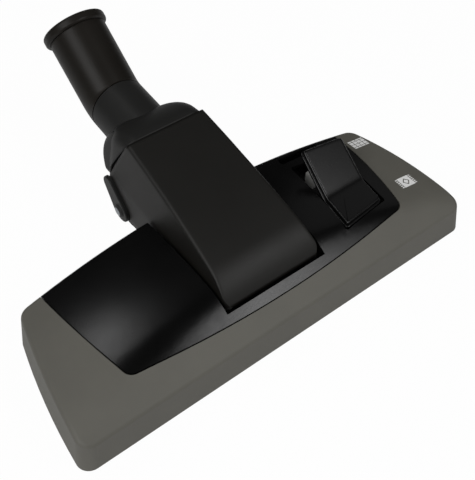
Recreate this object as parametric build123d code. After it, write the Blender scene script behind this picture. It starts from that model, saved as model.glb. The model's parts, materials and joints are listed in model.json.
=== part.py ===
from build123d import *
import math
import os

# Vacuum floor brush head. X runs along the head, +Y to the rear, +Z up, floor at Z = 0.
# The origin lies on the floor straight below the axis that the neck tilts about.

# Housing, in millimetres and degrees
head_front_half = 140.0
head_back_half = 128.0
head_front_y = -52.0
head_depth = 95.0
end_bulge = 2.6
back_bow = 8.0
corner_radius = 8.0
rim_z = 3.0
front_draft = 5.0
side_draft = 9.5
back_draft = 4.0
wall = 2.2
edge_radius = 3.0

# Height of the housing's top
crease_z = 22.0
front_slope = 0.62
crown_z = 41.5
crown_y = -5.0
end_drop = 13.5
back_drop = 13.0
blend = 1.5
form_top = 60.0

# Centre panel and its joint line
panel_front_half = 97.5
panel_back_margin = 17.0
panel_front_y = -33.0
panel_front_bow = 5.8
panel_side_bulge = 2.2
panel_corner = 6.0
seam_gap = 0.6
ledge_width = 3.0
ledge_thickness = 1.6
ledge_gap = 0.1

# Fits
running = 0.05
slip = 0.3
hood_gap = 1.5

# Neck hood, round about the tilt axis in front
tilt_z = 15.0
hood_front_r = 36.5
hood_front_angle = 152.0
hood_slope = 13.0
hood_rear_y = 77.2
hood_rear_lean = 17.0
hood_rear_z = 45.0
hood_low_half = 33.6
hood_top_half = 27.2
hood_bend_z = 38.0
hood_top_z = 73.0
hood_foot_z = 11.0
hood_inner_edge_z = 24.0
hood_crease_radius = 1.6

# Rear wheels under the hood
wheel_r = 17.0
wheel_y = 82.0
wheel_width = 8.4
wheel_hub_r = 12.5
pin_r = 3.0
pin_head_r = 5.0
pin_head_h = 2.0
plate_thickness = 2.5
plate_low_r = 8.5
plate_top_r = 6.0
plate_reach_y = 10.0
plate_reach_z = 15.0

# Neck duct, collar and tubes
duct_wall = 2.0
ear_reach = 15.0
ear_thickness = 3.5
barrel_r = 7.5
barrel_half = 32.0
trunnion_r = 5.0
trunnion_half = 42.0
collar_front_y = 66.0
collar_low_half = 20.5
tube_r = 19.75
tube_bore_r = 17.5
spigot_bore_r = 15.4
spigot_length = 14.0
swivel_y = 133.7
swivel_z = 50.1
swivel_rise = 5.0
tube_rise = 36.5
bend_radius = 20.5
tube_straight = 49.6
joint_gap = 0.8
socket_depth = 40.0
lip_r = 22.0
lip_length = 6.5

# Base frame, sole and brush
sole_thickness = 1.6
sole_inset = 6.0
floor_thickness = 2.5
slot_margin = 12.0
slot_front_y = -42.0
slot_back_y = -25.5
tunnel_wall = 2.0
tunnel_z = 18.0
chamber_half = 36.3
chamber_top_z = 22.0
chamber_back_y = 14.0
bristle_front_y = -46.0
bristle_back_y = 23.5
bar_width = 2.8
bar_height = 5.0
bar_z = 9.0
bristle_length = 6.0
tuft_pitch = 6.4
arm_margin = 3.5
side_arm_width = 4.0
guide_r = 1.5
guide_y = (-12.0, 12.0)
cover_screw_y = (-8.0, 31.0)
cover_screw_margin = 4.4
panel_screws = ((50.0, -12.0), (50.0, 32.0))
post_r = 3.6
post_z = 10.0
screw_r = 1.5
screw_head_r = 3.4
screw_head_h = 1.3
screw_length = 18.0

# Rocker pedal
pedal_axis_y = -3.0
pedal_axis_z = 29.0
pedal_pin_r = 2.0
pedal_hub_r = 4.5
pedal_thickness = 3.2
pedal_left = 61.5
pedal_right = 90.0
pedal_plan = ((57.0, -27.5), (90.5, -23.0), (94.5, 21.5), (63.0, 25.5))
pedal_side = ((-32.0, 38.0), (-5.0, 40.0), (30.0, 57.0))
pedal_gap = 1.3
nose_reach_y = 15.5
nose_drop = 2.0
nose_r = 2.5

spring_x = 81.0
spring_width = 5.0
spring_seat_y = 11.0
spring_seat_z = 9.0

# Sizes that follow from these
panel_back_half = head_back_half - panel_back_margin
panel_back_y = head_front_y + head_depth + 2 * back_bow
slot_half = head_back_half - slot_margin
side_arm_x = head_back_half - arm_margin
spread = head_front_half + 2 * corner_radius


def slant(angle, rise):
    """Sideways run of a wall that leans by angle over a rise."""
    return rise * math.tan(math.radians(angle))


def on_circle(radius, angle):
    """Point of the YZ plane on a circle about the tilt axis."""
    turn = math.radians(angle)
    return (radius * math.cos(turn), tilt_z + radius * math.sin(turn))


def prism(sketch, low, high):
    """Upright prism of a plan sketch between two heights."""
    return extrude(Pos(0, 0, low) * sketch, high - low)


def block(x0, x1, y0, y1, z0, z1):
    """Box between two corners."""
    centre = Pos((x0 + x1) / 2, (y0 + y1) / 2, (z0 + z1) / 2)
    return centre * Box(x1 - x0, y1 - y0, z1 - z0)


def cross_rod(radius, x0, x1, y, z):
    """Round rod along X."""
    return Pos((x0 + x1) / 2, y, z) * Rot(0, 90, 0) * Cylinder(radius, abs(x1 - x0))


def upright(radius, x, y, z0, z1):
    """Round rod along Z."""
    return Pos(x, y, (z0 + z1) / 2) * Cylinder(radius, z1 - z0)


def side_slab(edges, half):
    """Slab whose outline is drawn in the YZ plane, spread evenly along X."""
    return extrude(Plane.YZ * make_face(edges), half, both=True)


def mirrored(places):
    """The places and their mirror images across X = 0."""
    return [(side * x, y) for x, y in places for side in (-1, 1)]


def panel_edge(y):
    """X of the panel's bowed side at y."""
    t = (y - panel_front_y) / (panel_back_y - panel_front_y)
    return panel_front_half + (panel_back_half - panel_front_half) * t + 4 * panel_side_bulge * t * (1 - t)


def cover_screw_places():
    """Screw places of the cover, just outside the panel's sides."""
    return tuple((panel_edge(y) + cover_screw_margin, y) for y in cover_screw_y)


def outline(inset, z):
    """Plan outline of the housing at height z, moved inward by inset."""
    rise = z - rim_z
    front = head_front_y + inset + slant(front_draft, rise)
    back = head_front_y + head_depth - inset - slant(back_draft, rise)
    x_front = head_front_half - inset - slant(side_draft, rise)
    x_back = head_back_half - inset - slant(side_draft, rise)
    x_mid = (x_front + x_back) / 2 + end_bulge
    y_mid = (front + back) / 2
    face = make_face([
        Line((-x_front, front), (x_front, front)),
        ThreePointArc((x_front, front), (x_mid, y_mid), (x_back, back)),
        ThreePointArc((x_back, back), (0, back + back_bow), (-x_back, back)),
        ThreePointArc((-x_back, back), (-x_mid, y_mid), (-x_front, front)),
    ])
    corners = fillet(face.vertices(), max(corner_radius - inset, wall))
    return Pos(0, 0, z) * corners


def top_height(x, y):
    """Height of the top: a slope behind the front crease, blended into a crown that falls to ends and back."""
    slope = crease_z + front_slope * (y - head_front_y)
    crown = crown_z - end_drop * (x / head_front_half) ** 2 - back_drop * ((y - crown_y) / head_depth) ** 2
    return -blend * math.log(math.exp(-slope / blend) + math.exp(-crown / blend))


def head_form(inset, floor_z):
    """Solid under the housing's top and inside its drafted walls, all moved inward by inset."""
    sides = loft([outline(inset, floor_z), outline(inset, form_top)], ruled=True)
    reach_x = head_front_half + 4 * end_bulge
    reach_y = head_depth * 0.7
    columns = [reach_x * (i / 10 - 1) for i in range(21)]
    rows = [crown_y + reach_y * (j / 10 - 1) for j in range(21)]
    grid = [[Vector(x, y, top_height(x, y) - inset) for x in columns] for y in rows]
    top = Face.make_surface_from_array_of_points(grid, tol=0.02)
    return sides & Solid.extrude(top, Vector(0, 0, -form_top))


def panel_outline(grow):
    """Plan outline of the centre panel, running out past the housing's rear edge."""
    front = panel_front_y - grow
    back = panel_back_y
    x_front = panel_front_half + grow
    x_back = panel_back_half + grow
    x_mid = (x_front + x_back) / 2 + panel_side_bulge
    face = make_face([
        ThreePointArc((-x_front, front), (0, front - panel_front_bow), (x_front, front)),
        ThreePointArc((x_front, front), (x_mid, (front + back) / 2), (x_back, back)),
        Line((x_back, back), (-x_back, back)),
        ThreePointArc((-x_back, back), (-x_mid, (front + back) / 2), (-x_front, front)),
    ])
    return fillet(face.vertices().group_by(Axis.Y)[0], panel_corner + grow)


def pedal_opening():
    """Well in the panel round the rocker pedal, longer at the rear so that the plate can swing down."""
    front_left, front_right, back_right, back_left = pedal_plan
    reach = 4.0
    well = Polyline((front_left[0], front_left[1]), (front_right[0], front_right[1]),
                    (back_right[0], back_right[1] + reach), (back_left[0], back_left[1] + reach), close=True)
    return offset(make_face(well), pedal_gap, kind=Kind.ARC)


def hood_profile(inset, cavity):
    """Side outline of the hood: arc about the tilt axis, straight rise, slanted rear edge, foot and inner edge."""
    radius = hood_front_r - inset
    lift = 90 + hood_slope
    start = on_circle(radius, 200 if cavity else hood_front_angle)
    middle = on_circle(radius, (lift + hood_front_angle) / 2)
    shoulder = on_circle(radius, lift)
    rear = hood_rear_y + (60 if cavity else 0)
    top = (rear, shoulder[1] + slant(hood_slope, rear - shoulder[0]))
    if cavity:
        tail = [(rear, -wall), (0, -wall)]
    else:
        low_y = hood_rear_y + hood_rear_lean
        tail = [(low_y, hood_rear_z), (low_y + 1.5, hood_rear_z - 9), (wheel_y + 10, hood_foot_z),
                (wheel_y - 20, hood_foot_z), (wheel_y - 30, hood_inner_edge_z), (-6.0, hood_inner_edge_z)]
    return [ThreePointArc(start, middle, shoulder), Polyline(shoulder, top, *tail, start)]


def hood_section(inset):
    """Cross-section of the hood: upright flanks below the bend, leaning inward above it."""
    low = hood_low_half - inset
    high = hood_top_half - inset
    outline_points = [(low, -wall), (low, hood_bend_z), (high, hood_top_z), (-high, hood_top_z),
                      (-low, hood_bend_z), (-low, -wall)]
    face = make_face(Polyline(*outline_points, close=True))
    return extrude(Plane.XZ * face, 200, both=True)


def housing_cover(outer, inner):
    """Grey outer cover: front strip and both ends, with a ledge that the panel rests on and screw posts."""
    seam = prism(panel_outline(seam_gap / 2), -10, form_top + 20)
    lower = head_form(wall + ledge_thickness, rim_z - 2)
    rim = prism(panel_outline(wall), -10, form_top + 20) - prism(panel_outline(-ledge_width), -10, form_top + 20)
    seat = head_form(wall + ledge_gap, rim_z - 2)
    ledge = (seat - lower) & rim & block(-spread, spread, -spread, cover_screw_y[1], crease_z - 8, form_top)
    ledge -= block(-chamber_half - 4, chamber_half + 4, -spread, spread, 0, form_top)
    shell = (outer - inner - seam) + ledge
    posts = [upright(post_r, x, y, post_z, form_top) for x, y in mirrored(cover_screw_places())]
    shell += [post & head_form(wall / 2, rim_z) for post in posts]
    for x, y in mirrored(cover_screw_places()):
        shell -= upright(screw_r + running, x, y, 0, post_z + screw_length - 6)
    return shell


def centre_panel(outer, inner):
    """Black crowned panel with the hood cut-out and its side flanges, the pedal well and the rear slot."""
    inside = prism(panel_outline(-seam_gap / 2), -10, form_top + 20)
    side = hood_low_half + hood_gap
    flanges = [block(s * side - (wall if s < 0 else 0), s * side + (wall if s > 0 else 0), -30, 60,
                     chamber_top_z + 2, form_top) for s in (-1, 1)]
    shell = (outer - inner) & inside
    shell += [flange & head_form(wall / 2, rim_z) for flange in flanges]
    shell -= cross_rod(hood_front_r + hood_gap, -side, side, 0, tilt_z)
    shell -= block(-side, side, -8, 70, 0, form_top)
    shell -= prism(pedal_opening(), rim_z, form_top)
    back_left = pedal_plan[3]
    slot_y = back_left[1] + 11
    slot = block(back_left[0] - 3, pedal_plan[2][0] - 3, slot_y, slot_y + 5.5, chamber_top_z, form_top)
    shell -= fillet(slot.edges().filter_by(Axis.Z), 1.5)
    posts = [upright(post_r, x, y, post_z, form_top) for x, y in mirrored(panel_screws)]
    shell += [post & head_form(wall / 2, rim_z) for post in posts]
    for x, y in mirrored(panel_screws):
        shell -= upright(screw_r + running, x, y, 0, post_z + screw_length - 6)
    return shell


def base_frame():
    """Lower chassis: floor, chamber walls with half-round hinge seats, bosses and posts."""
    low = sole_thickness
    high = low + floor_thickness
    frame = extrude(Pos(0, 0, low - rim_z) * outline(wall + slip, rim_z), floor_thickness)
    frame += block(-chamber_half, chamber_half, slot_front_y - tunnel_wall, slot_front_y, low, tunnel_z + tunnel_wall)
    for s in (-1, 1):
        edge = s * chamber_half
        far = s * (chamber_half + tunnel_wall)
        frame += block(min(edge, far), max(edge, far), slot_front_y - tunnel_wall, chamber_back_y, low, chamber_top_z)
        seat = s * (trunnion_half + 1)
        frame += block(min(edge, seat), max(edge, seat), -9, 9, low, tilt_z)
    frame -= block(-slot_half, slot_half, slot_front_y, slot_back_y, -1, tunnel_z)
    saddle = block(-barrel_half - 1, barrel_half + 1, -8, 8, low, tilt_z - 3)
    frame += saddle
    frame -= cross_rod(barrel_r + slip, -barrel_half - 2, barrel_half + 2, 0, tilt_z)
    frame -= block(-chamber_half - 9, chamber_half + 9, -9.5, 9.5, tilt_z, form_top)
    frame -= cross_rod(trunnion_r + running, -trunnion_half - 2, trunnion_half + 2, 0, tilt_z)
    for x, y in mirrored(cover_screw_places() + panel_screws):
        frame += upright(post_r + 1, x, y, low, post_z)
        frame -= upright(screw_r + slip, x, y, 0, post_z + 1)
    for y in (bristle_front_y, bristle_back_y):
        half = bar_width / 2 + slip
        frame -= block(-slot_half - 1, slot_half + 1, y - half, y + half, 0, high)
    for s in (-1, 1):
        for y in guide_y:
            frame += upright(guide_r, s * side_arm_x, y, low, bar_z + bar_height + 6)
    for x in (pedal_left - slip, pedal_right + slip):
        x_low = x - 3 if x < (pedal_left + pedal_right) / 2 else x
        post = block(x_low, x_low + 3, pedal_axis_y - 5, pedal_axis_y + 5, low, pedal_axis_z + 4)
        frame += post
    frame -= cross_rod(pedal_pin_r + running, pedal_left - 5, pedal_right + 5, pedal_axis_y, pedal_axis_z)
    frame += block(spring_x - 1, spring_x + spring_width + 1, spring_seat_y, spring_seat_y + 6, low, spring_seat_z)
    return frame


def suction_channel(side):
    """Cover over one half of the suction slot, open below and towards the middle."""
    low = sole_thickness + floor_thickness
    start = chamber_half + tunnel_wall
    cover = block(start, slot_half + tunnel_wall, slot_front_y - tunnel_wall, slot_back_y + tunnel_wall,
                  low, tunnel_z + tunnel_wall)
    cover -= block(start - 1, slot_half, slot_front_y, slot_back_y, 0, tunnel_z)
    return cover if side > 0 else mirror(cover, about=Plane.YZ)


def sole_plate():
    """Steel glide plate with the suction slot, bristle slots, lint strip slots and screw holes."""
    plate = extrude(Pos(0, 0, -rim_z) * outline(sole_inset, rim_z), sole_thickness)
    plate = fillet(plate.faces().sort_by(Axis.Z)[0].edges(), 0.8)
    plate -= block(-slot_half, slot_half, slot_front_y, slot_back_y, -1, 5)
    for y in (bristle_front_y, bristle_back_y):
        half = bar_width / 2 + slip
        plate -= block(-slot_half - 1, slot_half + 1, y - half, y + half, -1, 5)
    for y in lint_strip_rows():
        plate -= block(-slot_half + 3, slot_half - 3, y - 2.8, y + 2.8, -1, 5)
    for x, y in mirrored(cover_screw_places() + panel_screws):
        plate -= upright(screw_head_r + slip, x, y, -1, 5)
    return plate


def lint_strip_rows():
    """Y of the two lint strips, behind the suction slot and ahead of the rear bristles."""
    return (slot_back_y + 5.5, bristle_back_y - 8.0)


def lint_strip(y):
    """Velour strip glued under the base's floor, in its slot in the sole plate."""
    half = slot_half - 3 - slip
    return block(-half, half, y - 2.5, y + 2.5, 0.2, sole_thickness)


def base_screws():
    """Screws that hold cover and panel to the base, put in from below."""
    screws = []
    for x, y in mirrored(cover_screw_places() + panel_screws):
        head = upright(screw_head_r, x, y, sole_thickness - screw_head_h, sole_thickness)
        screws.append(head + upright(screw_r, x, y, sole_thickness - 0.5, screw_length))
    return Compound(children=screws)


def hinge_cap(side):
    """Cap over one trunnion, half round below."""
    x0 = chamber_half
    x1 = trunnion_half + 1
    cap = block(x0, x1, -9, 9, tilt_z, chamber_top_z)
    cap -= cross_rod(trunnion_r + running, x0 - 1, x1 + 1, 0, tilt_z)
    cap = fillet(cap.edges().filter_by(Axis.X).group_by(Axis.Z)[-1], 2.0)
    return cap if side > 0 else mirror(cap, about=Plane.YZ)


def pedal():
    """V-shaped rocker: front lobe, raised rear plate, hub on the pin, and a nose that moves the brush frame."""
    front, fold, rear = pedal_side
    upper = [front, fold, rear]
    lower = [(y, z - pedal_thickness) for y, z in reversed(upper)]
    slab = extrude(Plane.YZ * make_face(Polyline(*upper, *lower, close=True)), 120)
    fold_edges = [e for e in slab.edges().filter_by(Axis.X) if abs(e.center().Y - fold[0]) < 1]
    slab = fillet(fold_edges, 2.5)
    plan = fillet(make_face(Polyline(*pedal_plan, close=True)).vertices(), 3.5)
    body = slab & prism(plan, 0, 90)
    body = fillet(body.edges().filter_by(lambda e: e.length > 20), 0.9)
    x0 = pedal_left + 2
    x1 = pedal_right - 2
    hub = cross_rod(pedal_hub_r, x0, x1, pedal_axis_y, pedal_axis_z)
    for x in (x0, (x0 + x1) / 2 - 1, x1 - 2):
        web = Polyline((pedal_axis_y - 4.4, pedal_axis_z), (-14, fold[1] - 2), (8, fold[1] + 3.5),
                       (pedal_axis_y + 4.4, pedal_axis_z), close=True)
        hub += Pos(x, 0, 0) * extrude(Plane.YZ * make_face(web), 2)
    nose_y = pedal_axis_y + nose_reach_y
    nose_z = pedal_axis_z - nose_drop
    arm = Polyline((pedal_axis_y, pedal_axis_z + 3), (nose_y, nose_z + 2.2), (nose_y, nose_z - 2.2),
                   (pedal_axis_y, pedal_axis_z - 3), close=True)
    hub += Pos(x0 + 2, 0, 0) * extrude(Plane.YZ * make_face(arm), 4)
    hub += cross_rod(nose_r, x0 + 2, x0 + 12, nose_y, nose_z)
    body += hub
    return body - cross_rod(pedal_pin_r + running, x0 - 1, x1 + 1, pedal_axis_y, pedal_axis_z)


def brush_carrier():
    """Light frame that carries both bristle rows, guided on posts and lifted by the pedal's nose."""
    half = slot_half - 0.5
    frame = None
    for y in (bristle_front_y, bristle_back_y):
        bar = block(-half, half, y - bar_width / 2, y + bar_width / 2, bar_z, bar_z + bar_height)
        bar += block(-side_arm_x, side_arm_x, y - bar_width / 2, y + bar_width / 2, bar_z + 2.5, bar_z + bar_height)
        frame = bar if frame is None else frame + bar
    for s in (-1, 1):
        x = s * side_arm_x
        frame += block(x - side_arm_width / 2, x + side_arm_width / 2, bristle_front_y - bar_width / 2,
                       bristle_back_y + bar_width / 2, bar_z + 2.5, bar_z + bar_height)
        for y in guide_y:
            frame += upright(guide_r + 2.2, x, y, bar_z + 1, bar_z + bar_height)
    for s in (-1, 1):
        for y in guide_y:
            frame -= upright(guide_r + slip, s * side_arm_x, y, 0, 40)
    x0 = pedal_left + 8.5
    nose_y = pedal_axis_y + nose_reach_y
    nose_z = pedal_axis_z - nose_drop
    gap = nose_r + slip
    riser = block(x0, x0 + 4, nose_y - 6, bristle_back_y + bar_width / 2, bar_z + 2.5, nose_z + gap + 3)
    riser -= block(x0 - 1, x0 + 5, nose_y - 7, nose_y + gap, nose_z - gap, nose_z + gap)
    riser -= block(x0 - 1, x0 + 5, nose_y - 7, bristle_back_y - bar_width / 2 - 4, 0, nose_z - gap - 3)
    return frame + riser


def bristles(y):
    """Row of tufts in a backing strip under one bar."""
    half = slot_half - 2
    top = bar_z
    strip = block(-half, half, y - 1.2, y + 1.2, top - 1.5, top)
    count = int(2 * half // tuft_pitch)
    first = -tuft_pitch * (count - 1) / 2
    for i in range(count):
        x = first + i * tuft_pitch
        strip += block(x - 1.6, x + 1.6, y - 1.1, y + 1.1, top - 1.5 - bristle_length, top - 1.2)
    return strip


def detent_spring():
    """Bent leaf that holds the pedal in either position, seated on a block of the base."""
    thick = 0.6
    tip_y = pedal_axis_y + 4.2
    tip_z = pedal_axis_z - 3.1
    end = spring_seat_y + 6
    leaf = Polyline((end, spring_seat_z), (spring_seat_y, spring_seat_z), (tip_y, tip_z), (tip_y + thick, tip_z + 0.3),
                    (spring_seat_y + 0.4, spring_seat_z + thick), (end, spring_seat_z + thick), close=True)
    return Pos(spring_x, 0, 0) * extrude(Plane.YZ * make_face(leaf), spring_width)


def neck_hood():
    """Charcoal hood shell, open below and behind, with screw bosses inside its flanks."""
    outer = side_slab(hood_profile(0, False), 60) & hood_section(0)
    creases = [e for e in outer.edges() if abs(e.center().X) > 20 and e.length > 25 and e.center().Z > 40
               and abs(e.tangent_at(0.5).Y) > 0.6]
    outer = fillet(creases, hood_crease_radius)
    inner = side_slab(hood_profile(wall, True), 60) & hood_section(wall)
    shell = outer - inner
    for x, y in mirrored(neck_screw_places()):
        boss = upright(2.6, x, y, hood_inner_edge_z + ear_thickness, 52) & outer
        shell += boss
        shell -= upright(1.2 + running, x, y, 0, hood_inner_edge_z + 14)
    for s in (-1, 1):
        shell -= cross_rod(pin_r + running, s * (hood_low_half - 2 * wall), s * (hood_low_half + wall),
                           wheel_y, wheel_r)
    return shell


def neck_screw_places():
    """Screws from the duct's ears up into the hood's bosses."""
    return ((hood_low_half - wall - 2.9, 16.0), (hood_low_half - wall - 2.9, 44.0))


def duct_form(inset):
    """Lofted duct from a wide mouth at the tilt axis to a round end at the collar."""
    axis_z = swivel_z - slant(swivel_rise, swivel_y - collar_front_y)
    stations = ((2.0, 54.0, 22.5, 48.5, 5.0), (36.0, 44.0, 23.5, 56.0, 12.0),
                (collar_front_y, 2 * tube_r - 0.3, axis_z - tube_r + 0.15, axis_z + tube_r - 0.15, tube_r - 0.3))
    sections = []
    for y, width, low, high, radius in stations:
        shape = RectangleRounded(width - 2 * inset, high - low - 2 * inset, max(radius - inset, 1.0))
        sections.append(Plane(origin=(0, y, (low + high) / 2), x_dir=(1, 0, 0), z_dir=(0, 1, 0)) * shape)
    return loft(sections)


def neck_duct():
    """Air duct of the neck with the hinge barrel and trunnions below its mouth and ears for the hood's screws."""
    barrel = cross_rod(barrel_r, -barrel_half, barrel_half, 0, tilt_z)
    barrel += block(-barrel_half + 3, barrel_half - 3, -5, 9, tilt_z, hood_inner_edge_z)
    barrel += cross_rod(trunnion_r, -trunnion_half, trunnion_half, 0, tilt_z)
    body = duct_form(0) + barrel
    for x, y in mirrored(neck_screw_places()):
        inward = x - math.copysign(ear_reach, x)
        outward = x + math.copysign(2.0, x)
        ear = block(min(inward, outward), max(inward, outward), y - 3.5, y + 3.5,
                    hood_inner_edge_z, hood_inner_edge_z + ear_thickness)
        body += ear
        body -= upright(1.2 + running, x, y, 0, hood_inner_edge_z + 10)
    body -= duct_form(duct_wall)
    return body


def neck_screws():
    """Four small screws between duct and hood."""
    screws = []
    for x, y in mirrored(neck_screw_places()):
        head = upright(2.3, x, y, hood_inner_edge_z - 1.6, hood_inner_edge_z)
        screws.append(head + upright(1.2, x, y, hood_inner_edge_z - 0.5, hood_inner_edge_z + 12))
    return Compound(children=screws)


def swivel_direction(angle):
    """Unit vector in the symmetry plane, rising by angle to the rear."""
    turn = math.radians(angle)
    return Vector(0, math.cos(turn), math.sin(turn))


def along(start, end, radius):
    """Round rod on the swivel axis between two distances from the swivel joint."""
    direction = swivel_direction(swivel_rise)
    base = Vector(0, swivel_y, swivel_z) + direction * start
    return extrude(Plane(origin=base, x_dir=(1, 0, 0), z_dir=direction) * Circle(radius), end - start)


def collar_profile():
    """Side outline of the collar: under the hood's roof in front, domed at the rear."""
    inset = wall + slip
    shoulder = on_circle(hood_front_r - inset, 90 + hood_slope)
    start = (collar_front_y, shoulder[1] + slant(hood_slope, collar_front_y - shoulder[0]))
    crest_y = hood_rear_y + 3
    crest = (crest_y, shoulder[1] + slant(hood_slope, crest_y - shoulder[0]))
    tail = (hood_rear_y + 31, 51.0)
    foot = (hood_rear_y + 22, 30.0)
    return [Line(start, crest), ThreePointArc(crest, (hood_rear_y + 20, 66.0), tail),
            Polyline(tail, foot, (collar_front_y, 26.0), start)]


def collar_section():
    """Cross-section of the collar, stepped in at the bottom to leave room for the wheels."""
    low = hood_low_half - wall - slip
    high = hood_top_half - wall - slip
    step_z = 2 * wheel_r + 2.0
    points = [(collar_low_half, 0), (collar_low_half, step_z), (low, step_z), (low, hood_bend_z), (high, hood_top_z)]
    points += [(-x, z) for x, z in reversed(points)]
    return extrude(Plane.XZ * make_face(Polyline(*points, close=True)), 200, both=True)


def neck_elbow():
    """Collar and lower tube in one moulding, with ears that carry the inner ends of the wheel pins."""
    collar = side_slab(collar_profile(), 60) & collar_section()
    rear = [e for e in collar.edges() if e.center().Y > hood_rear_y + 8 and e.center().Z > 50
            and abs(e.center().X) > 15]
    collar = fillet(rear, 5.0)
    body = collar + along(-40, 0, tube_r)
    for s in (-1, 1):
        ear = upright(plate_low_r, 0, 0, 0, 3)
        ear = Rot(0, 90, 0) * ear
        plate = Pos(s * collar_low_half - (3 if s > 0 else 0), wheel_y, wheel_r) * ear
        x0 = min(s * collar_low_half, s * (collar_low_half - 3))
        plate += block(x0, x0 + 3, wheel_y - plate_low_r, wheel_y + plate_low_r, wheel_r, 32)
        body += plate
        body -= cross_rod(pin_r + running, s * (collar_low_half - 4), s * (collar_low_half + 1), wheel_y, wheel_r)
    body -= along(-90, 1, tube_bore_r + 0.1)
    body -= along(-10.4, -7.6, tube_bore_r + 1.2)
    return body


def swivel_tube():
    """Upper tube: spigot in the lower tube, bend, straight socket for the wand and a rounded lip."""
    low = swivel_direction(swivel_rise)
    high = swivel_direction(tube_rise)
    up_low = Vector(0, -low.Z, low.Y)
    up_high = Vector(0, -high.Z, high.Y)
    middle = swivel_direction((swivel_rise + tube_rise) / 2)
    up_middle = Vector(0, -middle.Z, middle.Y)
    seam = Vector(0, swivel_y, swivel_z)
    start = seam + low * joint_gap
    centre = start + up_low * bend_radius
    bend_mid = centre - up_middle * bend_radius
    bend_end = centre - up_high * bend_radius
    mouth = bend_end + high * tube_straight
    tail = seam - low * spigot_length
    outer_path = Wire([Edge.make_three_point_arc(start, bend_mid, bend_end), Edge.make_line(bend_end, mouth)])
    inner_path = Wire([Edge.make_line(tail - low, start), Edge.make_three_point_arc(start, bend_mid, bend_end),
                       Edge.make_line(bend_end, mouth + high)])
    outer = sweep(Plane(origin=start, x_dir=(1, 0, 0), z_dir=low) * Circle(tube_r), path=outer_path)
    inner = sweep(Plane(origin=tail - low, x_dir=(1, 0, 0), z_dir=low) * Circle(spigot_bore_r), path=inner_path)
    lip_start = mouth - high * lip_length
    lip = extrude(Plane(origin=lip_start, x_dir=(1, 0, 0), z_dir=high) * Circle(lip_r), lip_length)
    lip = fillet(lip.edges(), 2.0)
    socket = extrude(Plane(origin=mouth - high * socket_depth, x_dir=(1, 0, 0), z_dir=high) * Circle(tube_bore_r),
                     socket_depth + 5)
    body = outer + lip + along(-spigot_length, joint_gap + 1, tube_bore_r + 0.1 - running)
    body -= inner
    body -= socket
    body -= along(-10, -8, tube_bore_r + 2) - along(-10, -8, tube_bore_r - 0.6)
    body -= along(-5, -3, tube_bore_r + 2) - along(-5, -3, tube_bore_r - 0.8)
    return body


def swivel_ring():
    """Split ring that keeps the upper tube in the lower one."""
    ring = along(-9.9, -8.1, tube_bore_r + 0.8) - along(-9.9, -8.1, tube_bore_r - 0.6)
    return ring - block(-2, 2, swivel_y - 20, swivel_y, swivel_z - 30, swivel_z - 10)


def tube_seal():
    """Seal ring in the spigot's groove."""
    return along(-5, -3, tube_bore_r) - along(-5, -3, tube_bore_r - 0.8)


def axle_plate(side):
    """Raised lug on the hood's flank round the wheel pin, leaning back at its top."""
    low = Pos(0, 0) * Circle(plate_low_r)
    high = Pos(plate_reach_y, plate_reach_z) * Circle(plate_top_r)
    shape = make_hull((low + high).edges())
    x = hood_low_half if side > 0 else -hood_low_half - plate_thickness
    plate = extrude(Plane(origin=(x, wheel_y, wheel_r), x_dir=(0, 1, 0), z_dir=(1, 0, 0)) * shape, plate_thickness)
    outer_face = plate.faces().sort_by(Axis.X)[-1 if side > 0 else 0]
    plate = fillet(outer_face.edges(), 0.8)
    return plate - cross_rod(pin_r + running, x - 1, x + plate_thickness + 1, wheel_y, wheel_r)


def wheel_pin(side):
    """Steel axle pin with a domed head outside the lug."""
    seat = hood_low_half + plate_thickness
    profile = make_face([Line((collar_low_half - 3.2, 0), (seat + pin_head_h, 0)),
                         ThreePointArc((seat + pin_head_h, 0), (seat + pin_head_h * 0.8, pin_head_r * 0.55),
                                       (seat, pin_head_r)),
                         Polyline((seat, pin_head_r), (seat, pin_r), (collar_low_half - 3.2, pin_r),
                                  (collar_low_half - 3.2, 0))])
    pin = Pos(0, wheel_y, wheel_r) * revolve(profile, Axis.X)
    return pin if side > 0 else mirror(pin, about=Plane.YZ)


def wheel_parts(side):
    """Wheel hub with a recessed web, and its rubber tyre."""
    x0 = collar_low_half + 1.4
    x1 = x0 + wheel_width
    hub = cross_rod(wheel_hub_r, x0, x1, wheel_y, wheel_r)
    for face in (x0, x1):
        recess = cross_rod(wheel_hub_r - 2, face - 2.4, face + 2.4, wheel_y, wheel_r)
        recess -= cross_rod(pin_r + 2.5, face - 3, face + 3, wheel_y, wheel_r)
        hub -= recess
    hub -= cross_rod(pin_r + running, x0 - 1, x1 + 1, wheel_y, wheel_r)
    tyre = cross_rod(wheel_r, x0, x1, wheel_y, wheel_r)
    tyre = fillet(tyre.edges(), 1.6)
    tyre -= cross_rod(wheel_hub_r, x0 - 1, x1 + 1, wheel_y, wheel_r)
    if side > 0:
        return hub, tyre
    return mirror(hub, about=Plane.YZ), mirror(tyre, about=Plane.YZ)


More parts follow.
